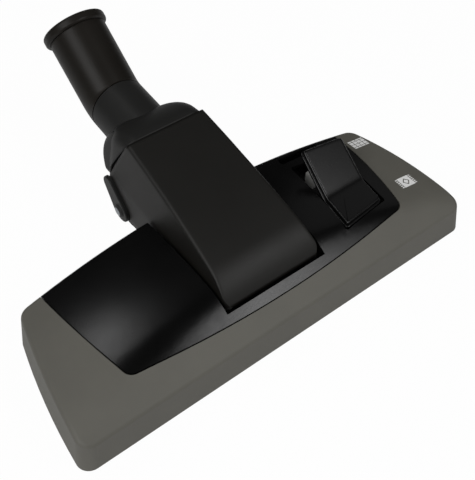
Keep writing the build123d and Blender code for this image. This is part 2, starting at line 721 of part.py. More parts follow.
def build():
    """All pieces by name."""
    outer = head_form(0, rim_z)
    outer = fillet(outer.faces().sort_by(Axis.Z)[-1].edges(), edge_radius)
    inner = head_form(wall, rim_z - 2)
    lint_front, lint_back = lint_strip_rows()
    wheel_left, tyre_left = wheel_parts(-1)
    wheel_right, tyre_right = wheel_parts(1)
    return {
        "housing_cover": housing_cover(outer, inner),
        "centre_panel": centre_panel(outer, inner),
        "base_frame": base_frame(),
        "suction_channel_left": suction_channel(-1),
        "suction_channel_right": suction_channel(1),
        "sole_plate": sole_plate(),
        "front_lint_strip": lint_strip(lint_front),
        "rear_lint_strip": lint_strip(lint_back),
        "base_screws": base_screws(),
        "hinge_cap_left": hinge_cap(-1),
        "hinge_cap_right": hinge_cap(1),
        "pedal": pedal(),
        "pedal_pin": cross_rod(pedal_pin_r, pedal_left - 3, pedal_right + 3, pedal_axis_y, pedal_axis_z),
        "detent_spring": detent_spring(),
        "brush_carrier": brush_carrier(),
        "front_bristles": bristles(bristle_front_y),
        "rear_bristles": bristles(bristle_back_y),
        "neck_hood": neck_hood(),
        "neck_duct": neck_duct(),
        "neck_elbow": neck_elbow(),
        "neck_screws": neck_screws(),
        "axle_plate_left": axle_plate(-1),
        "axle_plate_right": axle_plate(1),
        "wheel_pin_left": wheel_pin(-1),
        "wheel_pin_right": wheel_pin(1),
        "rear_wheel_left": wheel_left,
        "rear_tyre_left": tyre_left,
        "rear_wheel_right": wheel_right,
        "rear_tyre_right": tyre_right,
        "swivel_tube": swivel_tube(),
        "swivel_ring": swivel_ring(),
        "tube_seal": tube_seal(),
    }


os.makedirs("parts", exist_ok=True)
for name, piece in build().items():
    export_step(piece, f"parts/{name}.step")
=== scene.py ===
# %% [markdown]
# # A vacuum cleaner's floor head, dressed for its picture
# The moulded shells, the tilting neck and the wheels come as a fixed frame of solids, in metres, with the floor at
# Z = 0, +X towards the pedal and +Y towards the tube. This lesson gives every solid a finish, redraws the shells
# whose soft forms a plain solid lacks, and sets camera and light.

# %% Load the frame
import json
import math
import bpy
import numpy as np
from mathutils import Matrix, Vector


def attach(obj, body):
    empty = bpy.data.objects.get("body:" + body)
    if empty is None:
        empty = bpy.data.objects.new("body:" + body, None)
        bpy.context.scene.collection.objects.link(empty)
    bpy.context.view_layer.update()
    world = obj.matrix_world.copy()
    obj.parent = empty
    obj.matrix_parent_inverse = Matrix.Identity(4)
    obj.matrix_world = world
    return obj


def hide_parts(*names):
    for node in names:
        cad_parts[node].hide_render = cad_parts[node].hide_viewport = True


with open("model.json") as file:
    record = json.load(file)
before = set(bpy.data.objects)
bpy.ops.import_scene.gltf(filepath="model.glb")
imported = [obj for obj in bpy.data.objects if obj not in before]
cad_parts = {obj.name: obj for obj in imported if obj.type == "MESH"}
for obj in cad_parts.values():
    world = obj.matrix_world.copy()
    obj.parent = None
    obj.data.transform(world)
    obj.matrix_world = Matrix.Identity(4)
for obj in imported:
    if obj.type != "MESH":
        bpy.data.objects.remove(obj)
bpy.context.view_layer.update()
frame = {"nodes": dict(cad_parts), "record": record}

# %% [markdown]
# ## Camera
# The picture was taken from the front left and above. The lens and the place could be guessed by eye, but the long
# straight edges of the housing fix them better: its two ends and its left and right corners give the view.

# %% Camera
IMAGE_HEIGHT = 480
SENSOR_HEIGHT = 36.0
FOCAL_PIXELS = 740.0
CAMERA_PLACE = Vector((-0.1670, -0.2167, 0.3676))
CAMERA_AZIMUTH = -37.05
CAMERA_ELEVATION = 50.14


def view_direction(azimuth, elevation):
    """Unit vector from the object out to a point at that azimuth and elevation, in degrees."""
    a = math.radians(azimuth)
    e = math.radians(elevation)
    return Vector((math.sin(a) * math.cos(e), -math.cos(a) * math.cos(e), math.sin(e)))


def add_camera():
    """Camera whose optical axis runs along the view direction, level, with the lens of FOCAL_PIXELS."""
    data = bpy.data.cameras.new("photo_camera")
    data.sensor_fit = "VERTICAL"
    data.sensor_height = SENSOR_HEIGHT
    data.lens = FOCAL_PIXELS / IMAGE_HEIGHT * SENSOR_HEIGHT
    camera = bpy.data.objects.new("photo_camera", data)
    camera.location = CAMERA_PLACE
    back = view_direction(CAMERA_AZIMUTH, CAMERA_ELEVATION)
    camera.rotation_euler = (-back).to_track_quat("-Z", "Y").to_euler()
    bpy.context.scene.collection.objects.link(camera)
    bpy.context.scene.camera = camera
    return camera


camera = add_camera()
print("camera lens", round(camera.data.lens, 1), "mm")

# %% [markdown]
# ## Shader sentences
# A finish could be wired up node by node, but it is easier to read as a sum than as a picture of wires. So a small
# class wraps one socket, and adding or multiplying two of them adds the Math node.


# %% One value of a finish
class Wire:
    """One output socket of a finish. Arithmetic on it adds Math nodes."""

    def __init__(self, finish, socket):
        self.finish = finish
        self.socket = socket

    def _math(self, operation, first, second=0.0):
        return self.finish.make("ShaderNodeMath", {"operation": operation}, {0: first, 1: second})

    def __add__(self, other):
        return self._math("ADD", self, other)

    def __radd__(self, other):
        return self._math("ADD", other, self)

    def __sub__(self, other):
        return self._math("SUBTRACT", self, other)

    def __rsub__(self, other):
        return self._math("SUBTRACT", other, self)

    def __mul__(self, other):
        return self._math("MULTIPLY", self, other)

    def __rmul__(self, other):
        return self._math("MULTIPLY", other, self)

    def above(self, limit):
        """1 where the value is over the limit."""
        return self._math("GREATER_THAN", self, limit)

    def below(self, limit):
        """1 where the value is under the limit."""
        return self._math("LESS_THAN", self, limit)

    def size(self):
        """Value without its sign."""
        return self._math("ABSOLUTE", self)

    def root(self):
        """Square root."""
        return self._math("SQRT", self)

    def to_line(self, pitch):
        """Distance to the nearest of a row of lines, one at every pitch."""
        return self._math("PINGPONG", self, pitch / 2)

    def step(self, low, high):
        """0 under low, 1 over high, smooth between them."""
        settings = {"interpolation_type": "SMOOTHSTEP"}
        return self.finish.make("ShaderNodeMapRange", settings, {"Value": self, "From Min": low, "From Max": high})


# %% [markdown]
# Every finish here needs the same few things: a place on the piece, noise, a blend of two colours, a bump and one
# shader. They could be set up anew for each material. One class holds them instead, with a single method that makes
# every kind of node. Places are Object coordinates, so a pattern stays put when the piece moves.


# %% A finish
class Finish:
    """A material whose nodes are made one after the other, ending in one shader."""

    def __init__(self, name):
        self.material = bpy.data.materials.new(name)
        self.material.use_nodes = True
        self.tree = self.material.node_tree
        self.tree.nodes.clear()
        self.place = self.make("ShaderNodeTexCoord", out="Object")

    def make(self, kind, settings=None, values=None, out=0):
        """New node of a kind: settings first, then the values or links of its sockets; gives one output."""
        node = self.tree.nodes.new(kind)
        for key, value in (settings or {}).items():
            setattr(node, key, value)
        for key, value in (values or {}).items():
            if isinstance(value, Wire):
                self.tree.links.new(value.socket, node.inputs[key])
            else:
                node.inputs[key].default_value = value
        return Wire(self, node.outputs[out]) if node.outputs else None

    def along(self, axis):
        """Place along an axis, in millimetres."""
        return self.make("ShaderNodeSeparateXYZ", None, {0: self.place}, axis) * 1000.0

    def noise(self, size_mm, detail=2.0, roughness=0.55, stretch=None):
        """Noise with features of about size_mm, from 0 to 1."""
        place = self.place
        if stretch:
            place = self.make("ShaderNodeMapping", None, {"Vector": place, "Scale": stretch})
        values = {"Vector": place, "Scale": 1000.0 / size_mm, "Detail": detail, "Roughness": roughness}
        return self.make("ShaderNodeTexNoise", None, values, "Fac")

    def blend(self, factor, first, second):
        """Colour between two colours."""
        values = {0: factor, 6: first, 7: second}
        return self.make("ShaderNodeMix", {"data_type": "RGBA"}, values, 2)

    def bump(self, height, depth_mm):
        """Normal bent by a height of up to depth_mm."""
        values = {"Height": height, "Distance": depth_mm / 1000.0, "Strength": 1.0}
        return self.make("ShaderNodeBump", None, values, "Normal")

    def close(self, **sockets):
        """Principled shader with these sockets, joined to the output."""
        values = {key.replace("_", " "): value for key, value in sockets.items()}
        shader = self.make("ShaderNodeBsdfPrincipled", None, values)
        self.make("ShaderNodeOutputMaterial", None, {"Surface": shader})
        return self.material


def rgb(red, green, blue):
    """Linear colour with full alpha."""
    return (red, green, blue, 1.0)


def shade(colour, factor):
    """Colour made darker or paler, with full alpha."""
    return rgb(*(channel * factor for channel in colour))


# %% [markdown]
# ## Moulded plastics
# Every shell here is injection-moulded from an etched steel tool. The etching leaves a fine grain, and handling and
# moulding leave slow changes in shade and gloss. One flat colour would look like paint. So a moulded finish is a base
# colour with a slow cloud in it, a grain of under a millimetre that bends the normal, and a roughness that follows
# both.

# %% Moulded finish
CLOUD_MM, CLOUD_EDGES, CLOUD_SHARE = 38.0, (0.3, 0.7), 0.7
GRAIN_ROUGHNESS, GRAIN_SHARE = 0.6, 0.3
MOULDED_DETAIL, NOISE_MIDDLE = 3.0, 0.5
PRINT_WHITE = rgb(0.86, 0.86, 0.85)


def moulded(name, colour, roughness, grain_mm=0.5, grain_depth=0.008, cloud=0.12, specular=0.5, mark=None):
    """Colour times (1 - cloud .. 1 + cloud), grain in the normal, and roughness that follows cloud and grain.

    A mark is a function that gives a mask, 1 where white is printed on the plastic."""
    finish = Finish(name)
    grain = finish.noise(grain_mm, MOULDED_DETAIL, GRAIN_ROUGHNESS)
    slow = finish.noise(CLOUD_MM, MOULDED_DETAIL)
    mixed = slow.step(*CLOUD_EDGES) * CLOUD_SHARE + grain * GRAIN_SHARE
    tone = finish.blend(mixed, shade(colour, 1 - cloud), shade(colour, 1 + cloud))
    if mark:
        tone = finish.blend(mark(finish), tone, PRINT_WHITE)
    rough = (slow - NOISE_MIDDLE) * cloud + (grain - NOISE_MIDDLE) * cloud + roughness
    normal = finish.bump(grain, grain_depth)
    return finish.close(Base_Color=tone, Roughness=rough, Normal=normal, Specular_IOR_Level=specular)


# %% [markdown]
# ## Printed pictures
# Two small pictures are printed in white on the right end: a tiled floor for the drawn-in bristles and a fringed rug
# for the lowered ones. Thin plates laid on the shell would stand proud of it. Pad printing lays ink on the finished
# shell, so they are masks in its colour, each worked out from the distance to its middle along X and Y.

# %% Printed pictures, in millimetres
PRINT_HALF = (6.5, 4.2)
PRINT_LOWEST_Z = 26.0
TILES_AT = (117.6, 26.6)
TILE_PITCH = (3.25, 2.8)
TILE_JOINT = 0.2
RUG_AT = (116.2, -18.6)
RUG_CLOTH_HALF = 4.6
RUG_RING, RUG_RING_HALF = 2.4, 0.45
FRINGE_START, FRINGE_PITCH, FRINGE_GAP = 5.0, 1.4, 0.3


def printed_pictures(finish):
    """Tiles: a box less its joints. Rug: a box less a diamond ring, with combs of fringe at both X ends."""
    x = finish.along("X")
    y = finish.along("Y")
    tile_x = x - TILES_AT[0]
    tile_y = y - TILES_AT[1]
    box = tile_x.size().below(PRINT_HALF[0]) * tile_y.size().below(PRINT_HALF[1])
    joints = [way.to_line(pitch).above(TILE_JOINT) for way, pitch in zip((tile_x, tile_y), TILE_PITCH)]
    tiles = box * joints[0] * joints[1]
    rug_x = (x - RUG_AT[0]).size()
    rug_y = y - RUG_AT[1]
    rows = rug_y.size().below(PRINT_HALF[1])
    ring = (rug_x + rug_y.size() - RUG_RING).size().below(RUG_RING_HALF)
    cloth = rug_x.below(RUG_CLOTH_HALF) * rows * (1.0 - ring)
    ends = rug_x.above(FRINGE_START) * rug_x.below(PRINT_HALF[0])
    fringe = ends * rows * rug_y.to_line(FRINGE_PITCH).above(FRINGE_GAP)
    return (tiles + cloth + fringe) * finish.along("Z").above(PRINT_LOWEST_Z)


print("pictures:", 2 * PRINT_HALF[0], "by", 2 * PRINT_HALF[1], "mm")

# %% [markdown]
# ## Which plastic is where
# The housing is a matt grey and the panel a black satin with a fine grain. The pedal is polished, hood and collar are
# charcoal, the tyres are rubber and the lint strips a red pile. Each could be a function of its own, but they differ
# only in colour, gloss and grain, so a table of looks keeps them side by side.

# %% Moulded finishes
MOULDED_LOOKS = {
    "grey_housing": dict(colour=(0.106, 0.102, 0.0865), roughness=0.6, grain_mm=0.8, grain_depth=0.050, cloud=0.08,
                         mark=printed_pictures),
    "black_panel": dict(colour=(0.0024, 0.0024, 0.0024), roughness=0.235, grain_mm=0.9, grain_depth=0.016,
                        specular=0.25),
    "black_chassis": dict(colour=(0.008, 0.008, 0.008), roughness=0.45),
    "gloss_black": dict(colour=(0.0034, 0.0034, 0.0034), roughness=0.27, grain_mm=0.8, grain_depth=0.0005,
                        cloud=0.02, specular=0.33),
    "carrier_grey": dict(colour=(0.24, 0.24, 0.23), roughness=0.5),
    "bristle_black": dict(colour=(0.012, 0.012, 0.012), roughness=0.6, grain_mm=0.25, grain_depth=0.02),
    "charcoal_hood": dict(colour=(0.0038, 0.0033, 0.0022), roughness=0.54, grain_mm=0.8, grain_depth=0.034,
                          cloud=0.10, specular=0.38),
    "charcoal_collar": dict(colour=(0.0160, 0.0160, 0.0154), roughness=0.45, grain_mm=0.8, grain_depth=0.020,
                            cloud=0.08, specular=0.15),
    "tube_black": dict(colour=(0.0124, 0.0108, 0.0090), roughness=0.38, grain_mm=0.8, grain_depth=0.012,
                       cloud=0.08, specular=0.14),
    "tyre_rubber": dict(colour=(0.012, 0.012, 0.012), roughness=0.7, grain_mm=0.6, grain_depth=0.02),
    "lint_velour": dict(colour=(0.25, 0.02, 0.02), roughness=0.9, grain_mm=0.3, grain_depth=0.12),
}
finishes = {slot: moulded(slot, **look) for slot, look in MOULDED_LOOKS.items()}
print("moulded finishes:", len(finishes))

# %% [markdown]
# ## Metals
# The sole is rolled sheet, and its scratches run along the head. The screws share that finish. The pins are turned
# and polished. Round each wheel pin's head, where it meets the lug, a dark ring of painted shade stands in for the
# dark reflection at the dome's edge. Rings of geometry would be too fine to show, so the finish paints that shade
# ring by the distance to the wheels' axis.

# %% Metal finishes
SCRATCH_MM, SCRATCH_DETAIL, SCRATCH_ROUGHNESS, SCRATCH_DEPTH = 0.6, 4.0, 0.7, 0.004
SCRATCH_STRETCH = (0.02, 1.0, 1.0)
SCRATCH_SHARE, SCRATCH_GLOSS = 0.6, 0.25
SHEET_CLOUD_MM, SHEET_CLOUD_SHARE, SHEET_DARK = 30.0, 0.4, 0.82
WHEEL_AXIS = (82.0, 17.0)
# Painted shade: between these distances from the wheels' axis the pin's head is painted dark, as its dark edge
# reflection.
PIN_SHADE_RING_START, PIN_SHADE_RING_FULL, PIN_SHADE_RING_END = 2.6, 3.4, 5.4
PIN_BRIGHT, PIN_PAINTED_SHADE = rgb(0.34, 0.36, 0.38), rgb(0.003, 0.003, 0.003)
PIN_ROUGHNESS, PIN_SHADE_RING_ROUGHNESS = 0.22, 0.3
PIN_SMEAR_MM, PIN_SMEAR = 2.0, 0.08


def brushed(name, colour, roughness):
    """Steel whose noise is drawn out along X, so that scratches run along the head."""
    finish = Finish(name)
    scratch = finish.noise(SCRATCH_MM, SCRATCH_DETAIL, SCRATCH_ROUGHNESS, SCRATCH_STRETCH)
    slow = finish.noise(SHEET_CLOUD_MM)
    mixed = scratch * SCRATCH_SHARE + slow * SHEET_CLOUD_SHARE
    tone = finish.blend(mixed, shade(colour, SHEET_DARK), rgb(*colour))
    rough = (scratch - NOISE_MIDDLE) * SCRATCH_GLOSS + roughness
    normal = finish.bump(scratch, SCRATCH_DEPTH)
    return finish.close(Base_Color=tone, Roughness=rough, Metallic=1.0, Normal=normal)


def polished_pin(name):
    """Dark polished steel, with a ring of painted shade, dark and not metal, between two distances from the wheels'
    axis.
    """
    finish = Finish(name)
    y = finish.along("Y") - WHEEL_AXIS[0]
    z = finish.along("Z") - WHEEL_AXIS[1]
    radius = (y * y + z * z).root()
    # painted shade: the ring is dark colour and not metal, standing in for the dark reflection at the head's edge
    ring = radius.step(PIN_SHADE_RING_START, PIN_SHADE_RING_FULL) * radius.below(PIN_SHADE_RING_END)
    tone = finish.blend(ring, PIN_BRIGHT, PIN_PAINTED_SHADE)
    rough = finish.noise(PIN_SMEAR_MM) * PIN_SMEAR + PIN_ROUGHNESS + ring * PIN_SHADE_RING_ROUGHNESS
    return finish.close(Base_Color=tone, Roughness=rough, Metallic=1.0 - ring)


finishes["sole_steel"] = brushed("sole_steel", (0.62, 0.62, 0.60), 0.34)
finishes["screw_steel"] = brushed("screw_steel", (0.50, 0.50, 0.49), 0.38)
finishes["pin_steel"] = polished_pin("pin_steel")
print("finishes:", len(finishes))

# %% [markdown]
# The record names a finish for every solid. The solids could be dressed one by one, but the record's own list can't
# go out of step with them, so it deals the finishes out.

# %% Dress the solids
slot_of = {row["node"]: row["material_slot"] for row in frame["record"]["subparts"]}
for node, piece in frame["nodes"].items():
    piece.data.materials.clear()
    piece.data.materials.append(finishes[slot_of[node]])
print("dressed solids:", len(frame["nodes"]))

# %% [markdown]
# ## Building with grids
# A moulded shell is easy to describe as rows of points: one row for each cross-section, all with the same number of
# points. Pushing single points about by hand would take days. So whole arrays give all rows at once, and one helper
# joins neighbouring points to faces and hands the piece to the body that carries it. Sizes are in millimetres, as a
# drawing has them. A part is its points and a list of face arrays, each with faces of one number of corners.

# %% Grid helpers
MM = 0.001


def row_faces(rows, columns, ring=False):
    """Quads between neighbours of a grid of points; a ring also joins each row's last point to its first."""
    row, column = np.meshgrid(np.arange(rows - 1), np.arange(columns if ring else columns - 1), indexing="ij")
    a = row * columns + column
    b = row * columns + (column + 1) % columns
    return np.stack([a, b, b + columns, a + columns], -1).reshape(-1, 4)


def open_shell(rows):
    """Part made of rows of points, open at both ends and below."""
    return rows.reshape(-1, 3), [row_faces(*rows.shape[:2])]


def closed_stack(rings):
    """Part made of rings of points, one above the other: quads between them and one face on each end."""
    rows, columns = rings.shape[:2]
    end = np.arange(columns)[None]
    return rings.reshape(-1, 3), [row_faces(rows, columns, True), end[:, ::-1], end + (rows - 1) * columns]


def joined(*parts):
    """Several parts as one, their face numbers shifted past the points before them."""
    starts = np.cumsum([0] + [len(points) for points, _ in parts])
    faces = [group + start for (_, groups), start in zip(parts, starts) for group in groups]
    return np.concatenate([points for points, _ in parts]), faces


print("a grid of 3 by 4 points has", len(row_faces(3, 4)), "faces")


# %% Hand a piece to its body
def add_piece(name, part, slot, body, replaced=(), sharp=40.0, wall=0.0):
    """Mesh of a part, smooth up to an edge angle, dressed, walled inwards if asked, and riding on a body."""
    points, groups = part
    mesh = bpy.data.meshes.new(name)
    mesh.from_pydata((points * MM).tolist(), [], sum((group.tolist() for group in groups), []))
    mesh.validate()
    mesh.shade_smooth()
    mesh.set_sharp_from_angle(angle=math.radians(sharp))
    mesh.materials.append(finishes[slot])
    piece = bpy.data.objects.new(name, mesh)
    bpy.context.scene.collection.objects.link(piece)
    if wall:
        shell = piece.modifiers.new("wall", "SOLIDIFY")
        shell.thickness = wall * MM
        shell.offset = -1.0
    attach(piece, body)
    if replaced:
        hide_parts(*replaced)
    return piece


# %% [markdown]
# Three forms come up again and again: a round rod for posts and hubs, a flat plate for ribs, and a shell with soft
# upper corners for hood and collar. A bevel could round those corners, but it would round all of them alike. A curve
# in each row keeps their size in the drawing's hands.

# %% Rods, plates and rounded shells
ROD_SIDES = 24
ROD_GUIDE = (0.3, 0.5, 0.8)
CORNER_POINTS, TOP_POINTS = 9, 7
MOST_OF_FLANK, MOST_OF_TOP = 0.45, 0.8


def rod(start, end, radius):
    """Closed round rod: a circle about the axis at each end, and a flat cap on both."""
    start = np.asarray(start, float)
    axis = np.asarray(end, float) - start
    across = np.cross(axis, ROD_GUIDE)
    across /= np.linalg.norm(across)
    up = np.cross(axis, across) / np.linalg.norm(axis)
    turn = np.linspace(0, 2 * np.pi, ROD_SIDES, endpoint=False)[:, None]
    circle = radius * (np.cos(turn) * across + np.sin(turn) * up)
    return closed_stack(np.stack([start + circle, start + axis + circle]))


def plate(outline, x0, x1):
    """Closed plate: an outline in the YZ plane, drawn with +Y to the right and anticlockwise, between two X."""
    flat = np.asarray(outline, float)
    return closed_stack(np.stack([np.insert(flat, 0, x, axis=1) for x in (x0, x1)]))


def rounded_rows(flank, radius):
    """Rows of a shell that is the same left and right: left flank, a soft corner, the top, and all of it mirrored.

    The flank's upper end is the corner. The flank is redrawn to end short of it, and a quadratic curve leads over."""
    corner = flank[:, -1]
    length = np.linalg.norm(flank[:, 0] - corner, axis=-1, keepdims=True)
    soft = np.minimum(radius, MOST_OF_FLANK * length)
    last_index = flank.shape[1] - 1
    spot = np.linspace(0, 1, last_index + 1) * (1.0 - soft / length) * last_index
    index = np.minimum(spot.astype(int), last_index - 1)
    part = (spot - index)[..., None]
    row = np.arange(len(flank))[:, None]
    shorter = flank[row, index] * (1 - part) + flank[row, index + 1] * part
    first = shorter[:, -1]
    last = corner + np.minimum(soft, MOST_OF_TOP * np.abs(corner[:, :1])) * (1, 0, 0)
    t = np.linspace(0, 1, CORNER_POINTS)[1:, None]
    curve = (1 - t) ** 2 * first[:, None] + 2 * t * (1 - t) * corner[:, None] + t ** 2 * last[:, None]
    across = last[:, None] * (np.linspace(1, 0, TOP_POINTS)[1:, None] * (1, 0, 0) + (0, 1, 1))
    left = np.concatenate([shorter, curve, across], 1)
    return np.concatenate([left, left[:, -2::-1] * (-1, 1, 1)], 1)


print("a rod has", len(rod((0, 0, 0), (1, 0, 0), 1)[0]), "points")

# %% [markdown]
# ## Neck hood
# The hood is a moulded shell: round about the tilt axis in front, with a gently bowed roof, flanks that lean in above
# a bend, soft creases and rounded front corners. A subdivided box would lose the long clean creases. So each
# cross-section is worked out instead: from the foot up the flank, round the crease, across the roof and down again.

# %% Hood outline
NOSE_RADIUS, NOSE_CENTRE_Z, NOSE_ANGLE = 34.8, 17.0, 152.0
NOSE_Y, NOSE_CORNER = -31.5, 6.5
ROOF_START, ROOF_RADIUS, ROOF_REAR = 108.75, 683.0, 75.2
HOOD_LOW_HALF, HOOD_TOP_HALF, HOOD_BEND_Z, HOOD_TOP_Z = 33.6, 27.3, 38.0, 73.0
ARC_ROWS, ROOF_ROWS = 16, 44


def hood_spine():
    """Side outline of the roof: an arc about the nose's centre, then the bow of a much larger circle that meets it."""
    turn = np.radians(np.linspace(NOSE_ANGLE, ROOF_START, ARC_ROWS))
    arc = np.stack([NOSE_RADIUS * np.cos(turn), NOSE_CENTRE_Z + NOSE_RADIUS * np.sin(turn)], -1)
    reach = NOSE_RADIUS - ROOF_RADIUS
    y = np.linspace(arc[-1, 0], ROOF_REAR, ROOF_ROWS + 1)[1:]
    rise = np.sqrt(ROOF_RADIUS ** 2 - (y - reach * np.cos(turn[-1])) ** 2)
    return np.concatenate([arc, np.stack([y, NOSE_CENTRE_Z + reach * np.sin(turn[-1]) + rise], -1)])


def hood_half(y, z):
    """Half width of the hood: upright below the bend, leaning in above it, and rounded off towards the nose."""
    lean = (HOOD_LOW_HALF - HOOD_TOP_HALF) / (HOOD_TOP_Z - HOOD_BEND_Z)
    flank = HOOD_LOW_HALF - lean * np.maximum(z - HOOD_BEND_Z, 0)
    ahead = np.clip(NOSE_Y + NOSE_CORNER - y, 0, NOSE_CORNER)
    return flank - NOSE_CORNER + np.sqrt(NOSE_CORNER ** 2 - ahead ** 2)


print("hood's highest point:", round(hood_spine()[:, 1].max(), 1), "mm")

# %% Hood shell
CREASE, HOOD_WALL, SHELL_SHARP = 2.6, 2.2, 50.0
NOSE_LIP_BACK, NOSE_LIP_DROP, LEAST_FLANK = 0.6, 1.6, 0.6
REAR_BEND_Y, REAR_LEAN_POWER = 93.5, 1.5
FOOT_Y, FOOT_Z = (-6.0, 52.0, 62.0, 92.0), (24.0, 24.0, 11.0, 11.0)
LOW_POINTS, HIGH_POINTS = 6, 12


def hood_sections():
    """One row of points for each station of the spine: straight from foot to bend, and from bend to roof."""
    roof = hood_spine()
    shoulder_y = roof[ARC_ROWS - 1, 0]
    along = np.clip((roof[:, 0] - shoulder_y) / (ROOF_REAR - shoulder_y), 0, 1)
    back = (REAR_BEND_Y - ROOF_REAR) / (roof[-1, 1] - HOOD_BEND_Z) * along ** REAR_LEAN_POWER
    bend_z = np.minimum(HOOD_BEND_Z, roof[:, 1] - LEAST_FLANK)
    bend = np.stack([roof[:, 0] + back * (roof[:, 1] - bend_z), bend_z], -1)
    nose_y = roof[0, 0] + NOSE_LIP_BACK
    start = np.interp(np.arange(len(roof)), (0, ARC_ROWS - 1), (nose_y, FOOT_Y[0]))
    foot_y = start + along * (FOOT_Y[-1] - FOOT_Y[0])
    foot_z = np.interp(foot_y, (nose_y,) + FOOT_Y, (roof[0, 1] - NOSE_LIP_DROP,) + FOOT_Z)
    foot = np.stack([foot_y, np.minimum(foot_z, bend_z - LEAST_FLANK)], -1)
    low = foot[:, None] + np.linspace(0, 1, LOW_POINTS)[:-1, None] * (bend - foot)[:, None]
    high = bend[:, None] + np.linspace(0, 1, HIGH_POINTS)[:, None] * (roof - bend)[:, None]
    side = np.concatenate([low, high], 1)
    flank = np.concatenate([-hood_half(side[..., 0], side[..., 1])[..., None], side], -1)
    return rounded_rows(flank, CREASE)


hood = hood_sections()
add_piece("hood_shell", open_shell(hood), "charcoal_hood", "neck", ("neck_hood",), SHELL_SHARP, HOOD_WALL)
print("hood:", hood.shape[0], "sections of", hood.shape[1], "points")

# %% [markdown]
# The duct's screws turn into four posts that are moulded on the inside of the flanks. They could be cut from the
# hood's own grid, but plain rods that run into the wall show the same.

# %% Hood bosses
BOSS_X, BOSS_Y, BOSS_Z, BOSS_RADIUS = (-28.5, 28.5), (16.0, 44.0), (27.5, 50.0), 2.6
bosses = [rod((x, y, BOSS_Z[0]), (x, y, BOSS_Z[1]), BOSS_RADIUS) for x in BOSS_X for y in BOSS_Y]
add_piece("hood_bosses", joined(*bosses), "charcoal_hood", "neck")
print("hood bosses:", len(bosses))

# %% [markdown]
# ## Collar
# Behind the hood the moulding runs on as a soft dome that draws in to the round tube. A lathe can't make it, as it is
# a box in front and a tube behind. So it is a row of sections, each with its own height and width, and sheared so
# that the first one follows the hood's slanted rear edge.

# %% Collar skin
COLLAR_START, COLLAR_END, COLLAR_FOOT_Z = 75.7, 113.0, 36.0
COLLAR_CORNER, COLLAR_WALL, COLLAR_TAPER, LEAST_INSET = 9.0, 1.5, 1.8, 0.2
COLLAR_ROWS, COLLAR_FLANK_POINTS, COLLAR_DEGREE = 30, 14, 4
REAR_EDGE_Z, REAR_EDGE_BACK = (COLLAR_FOOT_Z, 45.0, 73.1), (18.1, 17.4, 0.0)
# Stations behind the hood: Y, height of the top, and how far each flank is drawn in.
COLLAR_STATIONS = np.array([(77, 72.9, 0.2), (85, 71.8, 0.2), (91, 69.8, 0.4), (96, 67.5, 1.5), (101, 64.2, 4.5),
                            (106, 59.5, 8.5), (110, 53.5, 12.0), (113, 47.0, 14.5)])
STATION_Y, STATION_TOP, STATION_INSET = COLLAR_STATIONS.T


def collar_curve(y, heights):
    """Smooth curve near the stations' heights: a polynomial of COLLAR_DEGREE about their middle."""
    middle = STATION_Y.mean()
    curve = np.polyfit(STATION_Y - middle, heights, COLLAR_DEGREE)
    return np.polyval(curve, np.clip(y, STATION_Y[0], STATION_Y[-1]) - middle)


def collar_sections():
    """Rows of points: up the flank, round a wide corner, across the top and down again."""
    station = np.linspace(COLLAR_START, COLLAR_END, COLLAR_ROWS)
    top = collar_curve(station, STATION_TOP)
    shear = 1.0 - (station - COLLAR_START) / (COLLAR_END - COLLAR_START)
    up = np.linspace(0, 1, COLLAR_FLANK_POINTS)
    z = COLLAR_FOOT_Z + up[None, :] * (top - COLLAR_FOOT_Z)[:, None]
    y = station[:, None] + shear[:, None] * np.interp(z, REAR_EDGE_Z, REAR_EDGE_BACK)
    inset = np.maximum(collar_curve(y, STATION_INSET), LEAST_INSET) + COLLAR_TAPER * (1.0 - shear[:, None])
    flank = np.stack([inset - hood_half(y, z), y, z], -1)
    return rounded_rows(flank, COLLAR_CORNER)


collar = collar_sections()
add_piece("collar_skin", open_shell(collar), "charcoal_collar", "neck", sharp=SHELL_SHARP, wall=COLLAR_WALL)
print("collar:", collar.shape[0], "sections of", collar.shape[1], "points")

# %% [markdown]
# ## Pedal
# The rocker is a thick glossy plate with a fold across it, rounded edges and a step round its rim, where two mould
# halves meet. A bevelled box would round every edge alike. So it is a stack of rings: the plan's outline, drawn in
# and lowered by the profile of the rim, with the height of the fold added last.

# %% Pedal plan and fold
PEDAL_PLAN = ((57.4, -27.3), (90.0, -23.6), (93.8, 21.0), (62.6, 24.3))
PEDAL_CORNER = 3.5
OUTLINE_CORNER_POINTS, OUTLINE_EDGE_POINTS = 8, 40
FOLD_Y, FOLD_Z, FRONT_RISE, REAR_RISE, FOLD_SOFT = -5.0, 39.2, 0.081, 0.637, 0.8


def rounded_outline(corners, radius):
    """Closed outline: each corner becomes a quadratic curve that starts and ends a radius away from it."""
    corners = np.asarray(corners, float)
    onward = np.roll(corners, -1, 0) - corners
    onward /= np.linalg.norm(onward, axis=1, keepdims=True)
    start = corners - np.roll(onward, 1, 0) * radius
    end = corners + onward * radius
    t = np.linspace(0, 1, OUTLINE_CORNER_POINTS)[:, None]
    curve = (1 - t) ** 2 * start[:, None] + 2 * t * (1 - t) * corners[:, None] + t ** 2 * end[:, None]
    between = np.linspace(0, 1, OUTLINE_EDGE_POINTS)[1:-1, None]
    straight = end[:, None] + between * (np.roll(start, -1, 0) - end)[:, None]
    return np.concatenate([curve, straight], 1).reshape(-1, 2)


def fold_height(y):
    """Two slopes that meet in a soft fold: the front slope, plus the extra slope times a soft ramp behind it."""
    behind = FOLD_SOFT * np.logaddexp(0, (y - FOLD_Y) / FOLD_SOFT)
    return FOLD_Z + FRONT_RISE * (y - FOLD_Y) + (REAR_RISE - FRONT_RISE) * behind


outline = rounded_outline(PEDAL_PLAN, PEDAL_CORNER)
print("pedal outline:", len(outline), "points")

# %% Pedal plate
PEDAL_THICK = 4.6
